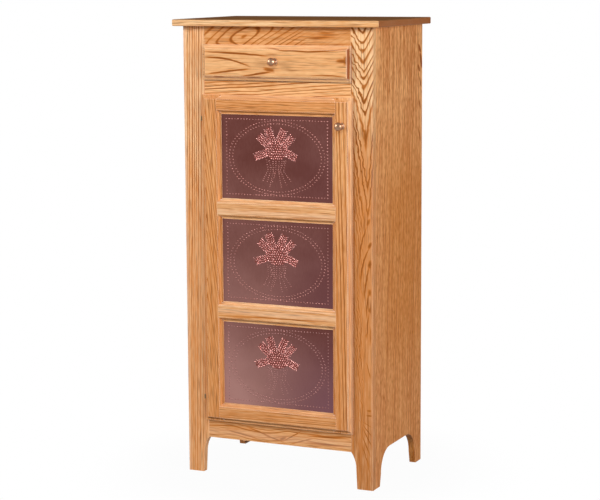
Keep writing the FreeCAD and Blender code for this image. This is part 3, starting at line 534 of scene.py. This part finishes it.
            (1.17, 0.012, 0.182, -0.006, 0.0, 0.008, 0.9), (1.13, 0.018, 0.193, -0.008, 0.0, 0.007, 0.7),
            (1.065, 0.016, 0.19, -0.006, 0.0, 0.006, 0.6), (0.975, 0.022, 0.19, -0.008, 0.0, 0.006, 0.6),
        ),
    },
}
for boardName, figure in oakBoards.items():
    dress(boardName, oakFinish(boardName, showBoard | figure))

innerBoard = {"tones": "inside", "wander": (0.012, 7.0, 1.7), "line": 0.5}
innerOak = {
    "shelf": (("lower_shelf", "upper_shelf", "bottom_board"),
              {"axes": "xy", "crown": (-0.4, 0.2), "side": 60.0, "wander": (0.02, 7.0, 1.7)}),
    "carcass": (("back_top_rail", "leg_blocks", "top_cleat_left", "top_cleat_right"),
                {"axes": "xz", "crown": (0.9, 0.2), "side": 70.0}),
    "runner": (("drawer_runner_left", "drawer_runner_right", "drawer_guide_left", "drawer_guide_right",
                "drawer_kicker_left", "drawer_kicker_right"),
               {"axes": "yx", "crown": (0.9, 0.2), "side": 70.0}),
    "stop": (("upper_panel_stops", "middle_panel_stops", "lower_panel_stops"),
             {"axes": "zx", "crown": (0.7, 0.2), "side": 80.0}),
    "backPly": (("back_panel",),
                {"axes": "zx", "crown": (0.05, -0.6), "side": 26.0, "climb": 9.0, "wander": (0.07, 5.0, 1.4),
                 "line": 0.4}),
    "drawerBox": (("drawer_left_side", "drawer_right_side", "drawer_bottom"),
                  {"axes": "yz", "crown": (0.7, 0.2), "side": 60.0, "line": 0.3}),
    "drawerEnds": (("drawer_box_front", "drawer_back", "drawer_stop"),
                   {"axes": "xz", "crown": (0.7, 0.2), "side": 60.0, "line": 0.3}),
}
for woodName, (pieceNames, figure) in innerOak.items():
    wood = oakFinish(woodName, innerBoard | figure)
    for pieceName in pieceNames:
        dress(pieceName, wood)
print("oak done")

# Copper sheets, antiqued dark, with the punching rubbed bright and a painted reflection on each sheet
copper = {
    # the dark tone is the antiqued copper; the light and plum tones paint a reflection, pale to the lower
    # left, plum to the lower right
    "dark": rgb(125, 73, 66), "light": rgb(198, 147, 139), "plum": rgb(148, 103, 113),
    "cloud": (5.0, 5.0, 7.0), "fleck": (260.0, 260.0, 90.0),
    "mottle": (0.5, 0.12),  # shares of cloud and fleck
    "fall": (1.15, 0.8),  # the painted reflection's share at the foot, and its loss to the top
    "plumFrom": 0.35, "plumShare": 1.2,
    "rough": 0.4, "roughMottle": (0.12, 0.1), "fleckRelief": 0.1, "relief": (0.0008, 0.35),
}
rubbed = {
    "spots": (150.0, 150.0, 150.0), "shift": (3.0, 1.0, 2.0), "spotShare": 1.6, "least": 0.3, "rough": 0.15,
    "edge": ((0.15, 0.155), (0.78, 0.82), 0.9),  # the upper sheet's right border is paler
}


def copperSheet(name, low, high, glow):
    finish = Finish(name + "Copper", {"Metallic": 1.0})
    axes = finish.axes(finish.point)
    across = (axes["x"] - low[0]) / (high[0] - low[0])
    height = (axes["z"] - low[2]) / (high[2] - low[2])
    cloud = finish.noise(copper["cloud"], (glow * 9.0, 2.0, glow * 31.0), 2.0)  # unlike on each sheet
    fleck = finish.noise(copper["fleck"], (0.0, 0.0, 0.0), 2.0)
    foot, loss = copper["fall"]
    cloudShare, fleckShare = copper["mottle"]
    # painted reflection: paler to the lower left, plum to the lower right, as strong as the sheet's glow
    light = (1.0 - across) * glow * (foot - height * loss)
    light = light + (cloud - 0.5) * cloudShare + (fleck - 0.5) * fleckShare
    plum = (across - copper["plumFrom"]) * (1.0 - height) * glow * copper["plumShare"]
    colour = finish.mix(light, copper["dark"], copper["light"])
    colour = finish.mix(plum, colour, copper["plum"])
    cloudShare, fleckShare = copper["roughMottle"]
    rough = (cloud - 0.5) * cloudShare + (fleck - 0.5) * fleckShare + copper["rough"]
    relief = finish.bump(cloud + fleck * copper["fleckRelief"], *copper["relief"])
    finish.wear(Base_Color=colour, Roughness=rough, Normal=relief)
    return finish.material


def rubbedCopper(name, tone, bright, rough):
    finish = Finish(name, {"Metallic": 1.0})
    axes = finish.axes(finish.point)
    spots = finish.noise(rubbed["spots"], rubbed["shift"], 2.0)
    acrossRange, upRange, edgeShare = rubbed["edge"]
    edge = axes["x"].softStep(*acrossRange) * axes["z"].softStep(*upRange)
    share = spots * rubbed["spotShare"] + edge * edgeShare - rubbed["least"]
    finish.wear(Base_Color=finish.mix(share, tone, bright), Roughness=(spots - 0.5) * rubbed["rough"] + rough)
    return finish.material


# Punched pattern, in millimetres from the middle of a sheet
sheaf = {
    "border": (156.0, 107.0), "borderCount": (34, 23),  # half sizes, gaps between dots
    "ovals": ((147.5, 104.5, 88), (137.0, 96.0, 80)),  # half sizes, dots
    "dot": (2.0, 0.85), "stemDot": (1.6, 0.6),  # radius, height
    "dent": 0.35,
    "grain": (1.6, 2.9, 1.5),  # half width, half length, height
    "awn": 1.3,  # length of an outer grain
    "splay": (0.8, 0.7), "inner": 0.34,  # turn of outer and inner grains, place of the inner ones
    "scatter": (0.8, 0.3),  # chance shift and turn
    "heads": (((-30, 14), (-67, 1), 9), ((-25, 33), (-54, 60), 9.5), ((-13, 42), (-27, 82), 10),
              ((6, 42), (23, 79), 10), ((22, 32), (49, 61), 8.5), ((30, 15), (60, 2), 9)),
    "rowPitch": 5.8, "ear": 0.25, "earPad": (1.25, 0.6),  # height, width and length against the head's
    "core": (33, 25, 18.5), "corePitch": 6.8, "coreCount": (7, 5),  # half sizes and level
    "coreFan": 0.022, "coreSplay": 0.35,
    "stems": (((-31, -3), (-27, -36), (-44, -67)), ((-22, -5), (-18.5, -36), (-31, -70)),
              ((-11, -7), (-10, -36), (-22, -84)), ((-2.5, -7), (-2.5, -36), (-13.5, -70)),
              ((8.5, -7), (5, -36), (15, -84)), ((17, -6), (12, -36), (31, -77)),
              ((28.5, -4), (21, -36), (44.5, -66)),
              ((-26, -6), (-14, -30), (-8, -46)), ((24, -6), (14, -30), (6, -46))),
    "stemPitch": 6.4,
    "dome": ((1.0, -0.08), (0.86, 0.45), (0.5, 0.86)),  # a mark's rings: width, rise
    "markSides": 8, "earSides": 24, "dentSides": 6,
}
fromMillimetres = Matrix.Scale(0.001, 4)


def punchMarks():
    dots, stems = [], []
    wide, tall = sheaf["border"]
    countWide, countTall = sheaf["borderCount"]
    for step in range(countWide + 1):
        place = -wide + 2 * wide * step / countWide
        dots += [(place, tall), (place, -tall)]
    for step in range(1, countTall):
        place = -tall + 2 * tall * step / countTall
        dots += [(-wide, place), (wide, place)]
    for oval in sheaf["ovals"]:
        dots += ellipseMarks(*oval)
    for corners in sheaf["stems"]:
        for first, second in zip(corners, corners[1:]):
            first, second = Vector(first), Vector(second)
            count = round((second - first).length / sheaf["stemPitch"])
            stems += [first.lerp(second, (step + 0.5) / count) for step in range(count)]
    chance = Random(5)
    shift, swing = sheaf["scatter"]
    grains = [(place + Vector((chance.uniform(-shift, shift), chance.uniform(-shift, shift))),
               turn + chance.uniform(-swing, swing), length)
              for place, turn, length in headGrains() + coreGrains()]
    return dots, stems, grains


def headGrains():
    grains = []
    outerTurn, innerTurn = sheaf["splay"]
    for start, tip, halfWide in sheaf["heads"]:
        start, tip = Vector(start), Vector(tip)
        way = (tip - start).normalized()
        beside = Vector((-way.y, way.x))
        turn = math.atan2(way.y, way.x)
        count = round((tip - start).length / sheaf["rowPitch"])
        for step in range(count + 1):
            place = start.lerp(tip, step / count)
            for hand in (-1, 1):  # an outer and an inner grain on each hand of the ear
                grains.append((place + beside * hand * halfWide, turn + hand * outerTurn, sheaf["awn"]))
                if step < count:
                    inner = place + beside * hand * halfWide * sheaf["inner"] + way * sheaf["rowPitch"] / 2
                    grains.append((inner, turn + hand * innerTurn, 1.0))
    return grains


def coreGrains():
    halfWide, halfTall, level = sheaf["core"]
    columns, rows = sheaf["coreCount"]
    pitch = sheaf["corePitch"]
    grains = []
    for row in range(-rows, rows + 1):
        for column in range(-columns, columns + 1):
            place = Vector(((column + (row % 2) / 2) * pitch, row * pitch))
            if (place.x / halfWide) ** 2 + (place.y / halfTall) ** 2 < 1:
                splay = sheaf["coreSplay"] if (row + column) % 2 else -sheaf["coreSplay"]
                turn = math.pi / 2 - place.x * sheaf["coreFan"] + splay
                grains.append((place + Vector((0, level)), turn, 1.0))
    return grains


def ellipseMarks(halfWide, halfTall, count):  # evenly spaced along the curve
    steps = 720
    angles = [step * math.tau / steps for step in range(steps + 1)]
    fine = [Vector((halfWide * math.cos(angle), halfTall * math.sin(angle))) for angle in angles]
    lengths = [0.0]
    for first, second in zip(fine, fine[1:]):
        lengths.append(lengths[-1] + (second - first).length)
    marks, here = [], 0
    for number in range(count):
        wanted = lengths[-1] * number / count
        while lengths[here + 1] < wanted:
            here += 1
        marks.append(tuple(fine[here]))
    return marks


def skinRings(mesh, rings, tip):  # faces from ring to ring, closed at the tip
    sides = len(rings[0])
    crown = mesh.verts.new(tip)
    for lower, upper in zip(rings, rings[1:]):
        for step in range(sides):
            after = (step + 1) % sides
            mesh.faces.new((lower[step], lower[after], upper[after], upper[step]))
    for step in range(sides):
        mesh.faces.new((rings[-1][step], rings[-1][(step + 1) % sides], crown))


def addDome(mesh, place, halfWide, halfLong, height, turn=0.0, sides=sheaf["markSides"]):
    spin = Matrix.Rotation(turn, 2)
    rings = []
    for share, rise in sheaf["dome"]:
        ring = []
        for step in range(sides):
            angle = math.tau * step / sides
            flat = spin @ Vector((halfLong * share * math.cos(angle), halfWide * share * math.sin(angle)))
            ring.append(mesh.verts.new((place[0] + flat.x, -height * rise, place[1] + flat.y)))
        rings.append(ring)
    skinRings(mesh, rings, (place[0], -height, place[1]))


def dotMesh():
    mesh = bmesh.new()
    for marks, size in ((punchDots, "dot"), (punchStems, "stemDot")):
        radius, height = sheaf[size]
        for mark in marks:
            addDome(mesh, mark, radius, radius, height)
    return mesh


def earMesh():  # the raised pads under the grains
    mesh = bmesh.new()
    padWide, padLong = sheaf["earPad"]
    for start, tip, halfWide in sheaf["heads"]:
        start, tip = Vector(start), Vector(tip)
        way = tip - start
        addDome(mesh, (start + tip) / 2, halfWide * padWide, way.length * padLong, sheaf["ear"],
                math.atan2(way.y, way.x), sheaf["earSides"])
    coreWide, coreTall, coreLevel = sheaf["core"]
    addDome(mesh, (0.0, coreLevel), coreTall, coreWide, sheaf["ear"], 0.0, sheaf["earSides"])
    return mesh


def grainMesh():
    mesh = bmesh.new()
    halfWide, halfLong, height = sheaf["grain"]
    for mark, turn, length in punchGrains:
        addDome(mesh, mark, halfWide, halfLong * length, height, turn)
    return mesh


def dentMesh():  # the punch marks behind the sheet
    mesh = bmesh.new()
    radius = sheaf["stemDot"][0]
    for mark in punchDots + punchStems:
        addDome(mesh, mark, radius, radius, -sheaf["dent"], 0.0, sheaf["dentSides"])
    halfWide, halfLong, _ = sheaf["grain"]
    for mark, turn, length in punchGrains:
        addDome(mesh, mark, halfWide, halfLong * length, -sheaf["dent"], turn, sheaf["dentSides"])
    return mesh


def finishMesh(name, mesh, place, material, body):
    bmesh.ops.recalc_face_normals(mesh, faces=mesh.faces)
    for face in mesh.faces:
        face.smooth = True
    data = bpy.data.meshes.new(name)
    mesh.to_mesh(data)
    mesh.free()
    data.transform(place)
    data.materials.append(material)
    piece = bpy.data.objects.new(name, data)
    scene.collection.objects.link(piece)
    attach(piece, body)
    return piece


punchDots, punchStems, punchGrains = punchMarks()
earCopper = rubbedCopper("earCopper", rgb(130, 68, 61), rgb(172, 100, 92), 0.38)
grainCopper = rubbedCopper("grainCopper", rgb(182, 100, 95), rgb(253, 198, 191), 0.26)
dotRough = 0.34
# glow: how strong each sheet's painted reflection is
sheets = {
    "upper": {"glow": 0.2, "dot": rgb(142, 88, 80), "rubbed": rgb(212, 152, 144)},
    "middle": {"glow": 0.52, "dot": rgb(140, 88, 81), "rubbed": rgb(203, 148, 141)},
    "lower": {"glow": 1.2, "dot": rgb(142, 93, 89), "rubbed": rgb(190, 142, 137)},
}
for sheetName, sheet in sheets.items():
    low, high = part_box(sheetName + "_panel")
    dress(sheetName + "_panel", copperSheet(sheetName, low, high, sheet["glow"]))
    dotCopper = rubbedCopper(sheetName + "DotCopper", sheet["dot"], sheet["rubbed"], dotRough)
    middle = ((low[0] + high[0]) / 2, low[1], (low[2] + high[2]) / 2)
    front = Matrix.Translation(middle) @ fromMillimetres
    back = Matrix.Translation((0.0, high[1] - low[1], 0.0)) @ front
    finishMesh(sheetName + "PunchedDots", dotMesh(), front, dotCopper, "door")
    finishMesh(sheetName + "WheatEars", earMesh(), front, earCopper, "door")
    finishMesh(sheetName + "WheatGrains", grainMesh(), front, grainCopper, "door")
    finishMesh(sheetName + "PunchedBack", dentMesh(), back, dotCopper, "door")
print("copper done:", len(punchDots) + len(punchStems), "dots,", len(punchGrains), "grains a sheet")

# Turned knobs, in millimetres: radius and reach from the front face
knob = {
    "base": 10.0, "foot": 3.0, "neck": 5.0, "rim": 12.0, "rimReach": 19.5, "rimHeight": 2.0, "length": 30.0,
    "sides": 48, "coveSteps": 6, "flareSteps": 8, "domeSteps": 10,
    "low": rgb(142, 90, 52), "high": rgb(228, 188, 158),
    "patina": (70.0, 70.0, 70.0), "shift": (4.0, 8.0, 1.0),
    "crest": 6.0, "least": 0.1, "rough": 0.44, "polish": 0.1, "relief": (0.0002, 0.3),
}


def knobProfile():
    base, neck, rim, length = knob["base"], knob["neck"], knob["rim"], knob["length"]
    cove = base - neck
    flare = rim - neck
    rise = length - knob["rimReach"] - knob["rimHeight"]
    dome = (rim ** 2 + rise ** 2) / (2 * rise)
    outline = [(base, 0.0)]
    for step in range(knob["coveSteps"] + 1):
        angle = math.radians(270 - 90 * step / knob["coveSteps"])
        outline.append((base + cove * math.cos(angle), knob["foot"] + cove + cove * math.sin(angle)))
    for step in range(knob["flareSteps"] + 1):
        angle = math.radians(180 - 90 * step / knob["flareSteps"])
        outline.append((rim + flare * math.cos(angle), knob["rimReach"] - flare + flare * math.sin(angle)))
    start = math.acos(rim / dome)
    for step in range(knob["domeSteps"]):
        angle = start + (math.pi / 2 - start) * step / knob["domeSteps"]
        outline.append((dome * math.cos(angle), length - dome + dome * math.sin(angle)))
    return outline


def turnKnob(name, node, body, material):
    low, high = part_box(node)
    mesh = bmesh.new()
    angles = [math.tau * step / knob["sides"] for step in range(knob["sides"])]
    rings = []
    for radius, reach in knobProfile():
        points = [(radius * math.cos(angle), -reach, radius * math.sin(angle)) for angle in angles]
        rings.append([mesh.verts.new(point) for point in points])
    skinRings(mesh, rings, (0.0, -knob["length"], 0.0))
    mesh.faces.new(reversed(rings[0]))
    place = Matrix.Translation(((low[0] + high[0]) / 2, high[1], (low[2] + high[2]) / 2)) @ fromMillimetres
    piece = finishMesh(name, mesh, place, material, body)
    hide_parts(node)


def knobBrass():
    finish = Finish("knobBrass", {"Metallic": 1.0})
    patina = finish.noise(knob["patina"], knob["shift"], 3.0)
    crest = finish.node("ShaderNodeNewGeometry", output="Pointiness")
    shine = (crest - 0.5) * knob["crest"] + patina
    colour = finish.mix(shine - knob["least"], knob["low"], knob["high"])
    relief = finish.bump(patina, *knob["relief"])
    finish.wear(Base_Color=colour, Roughness=knob["rough"] - shine * knob["polish"], Normal=relief)
    return finish.material


brass = knobBrass()
turnKnob("doorKnobTurned", "door_knob", "door", brass)
turnKnob("drawerKnobTurned", "drawer_knob", "drawer", brass)
print("knobs done")

# Hinges, screws and catch: dark and bright tone, roughness, metal or not
hardware = {
    "hinge_metal": ("hingeBronze", rgb(96, 74, 52), rgb(170, 142, 104), 0.36, 1.0),
    "steel": ("screwSteel", rgb(120, 116, 108), rgb(190, 186, 178), 0.34, 1.0),
    "catch_plastic": ("catchBrown", rgb(84, 54, 34), rgb(104, 70, 46), 0.5, 0.0),
    "antique_brass": ("screwBrass", rgb(120, 84, 50), rgb(180, 140, 92), 0.36, 1.0),
}
hardwareWear = {"rates": (180.0, 180.0, 60.0), "shift": (1.0, 2.0, 3.0), "share": 1.4, "least": 0.2,
                "rough": 0.2, "relief": (0.00015, 0.3)}


def hardwareFinish(name, dark, bright, rough, metallic):
    finish = Finish(name, {"Metallic": metallic})
    wear = finish.noise(hardwareWear["rates"], hardwareWear["shift"], 3.0)
    colour = finish.mix(wear * hardwareWear["share"] - hardwareWear["least"], dark, bright)
    finish.wear(Base_Color=colour, Roughness=(wear - 0.5) * hardwareWear["rough"] + rough,
                Normal=finish.bump(wear, *hardwareWear["relief"]))
    return finish.material


hardwareLooks = {slotName: hardwareFinish(*look) for slotName, look in hardware.items()}
for item in frame["record"]["subparts"]:
    if item["material_slot"] in hardwareLooks:
        dress(item["node"], hardwareLooks[item["material_slot"]])
print("hardware done")

# Light, floor and camera
studio = {
    "ambient": 0.07, "gloss": 0.5, "flag": (-0.2, 0.4),  # the room behind is dark to reflections
    "floor": 0.3, "floorSize": 40.0, "floorRough": 0.9, "floorGlow": 0.97, "floorFade": (0.3, 0.7),
}
lamps = {
    "keyLamp": {"place": (-6.7, -4.1, 3.7), "aim": (0.0, -0.17, 0.7), "size": (2.4, 2.4), "watts": 400.0},
    "frontLamp": {"place": (1.2, -4.2, 3.4), "aim": (0.0, -0.17, 0.7), "size": (2.5, 2.0), "watts": 92.0,
                  "mirrored": False},
    "fillLamp": {"place": (5.5, -2.6, 1.9), "aim": (0.2, 0.0, 0.65), "size": (2.4, 2.6), "watts": 235.0},
}
camera = {"place": (2.19898, -4.86355, 1.45218), "azimuth": 24.400, "elevation": 8.584, "roll": -0.326,
          "lens": 111.31, "sensor": 36.0}


class Sky(Finish):  # the same helper, for the world

    def __init__(self, name):
        scene.world = bpy.data.worlds.new(name)
        scene.world.use_nodes = True
        self.tree = scene.world.node_tree
        self.shader = self.tree.nodes["Background"]


sky = Sky("studio")
behind = sky.axes(sky.coords("Generated"))["y"].softStep(*studio["flag"])
shine = sky.ray("Glossy") * ((1.0 - behind) * studio["gloss"] - studio["ambient"])
sky.wear(Color=(1.0, 1.0, 1.0, 1.0),
         Strength=sky.ray("Camera") * (1.0 - studio["ambient"]) + shine + studio["ambient"])


def areaLamp(name, place, aim, size, watts, mirrored=True):
    data = bpy.data.lights.new(name, "AREA")
    data.shape = "RECTANGLE"
    data.size, data.size_y = size
    data.energy = watts
    lamp = bpy.data.objects.new(name, data)
    lamp.location = place
    lamp.rotation_euler = (Vector(aim) - Vector(place)).to_track_quat("-Z", "Y").to_euler()
    lamp.visible_glossy = mirrored
    scene.collection.objects.link(lamp)


for lampName, lampLook in lamps.items():
    areaLamp(lampName, **lampLook)

bpy.ops.mesh.primitive_plane_add(size=studio["floorSize"], location=(0.0, 0.0, 0.0))
floor = bpy.context.object
floor.name = "floor"
ground = Finish("paleFloor", {"Base Color": (*[studio["floor"]] * 3, 1.0), "Roughness": studio["floorRough"],
                              "Specular IOR Level": 0.0})
away = ground.axes(ground.point)
away = (away["x"] * away["x"] + away["y"] * away["y"]) ** 0.5
glow = away.softStep(*studio["floorFade"]) * (1.0 - studio["floorGlow"]) + studio["floorGlow"]
seen = ground.ray("Camera") * glow + ground.ray("Glossy") * studio["gloss"]  # white to the eye and to metal
lit = Value(ground, ground.shader.outputs[0])
white = ground.node("ShaderNodeEmission")
blend = ground.node("ShaderNodeMixShader", inputs={0: seen, 1: lit, 2: white})
ground.feed(ground.tree.nodes["Material Output"].inputs[0], blend)
floor.data.materials.append(ground.material)

azimuth, elevation, roll = (math.radians(camera[key]) for key in ("azimuth", "elevation", "roll"))
level = math.cos(elevation)
backWay = Vector((math.sin(azimuth) * level, -math.cos(azimuth) * level, math.sin(elevation)))
rightWay = Vector((math.cos(azimuth), math.sin(azimuth), 0.0))
upWay = backWay.cross(rightWay)
rolledRight = rightWay * math.cos(roll) + upWay * math.sin(roll)
rolledUp = upWay * math.cos(roll) - rightWay * math.sin(roll)
turned = Matrix((rolledRight, rolledUp, backWay)).transposed().to_4x4()
lens = bpy.data.cameras.new("camera")
lens.sensor_fit = "HORIZONTAL"
lens.sensor_width = camera["sensor"]
lens.lens = camera["lens"]
viewer = bpy.data.objects.new("camera", lens)
viewer.matrix_world = Matrix.Translation(camera["place"]) @ turned
scene.collection.objects.link(viewer)
scene.camera = viewer
scene.view_settings.view_transform = "Standard"
print("light and camera done")
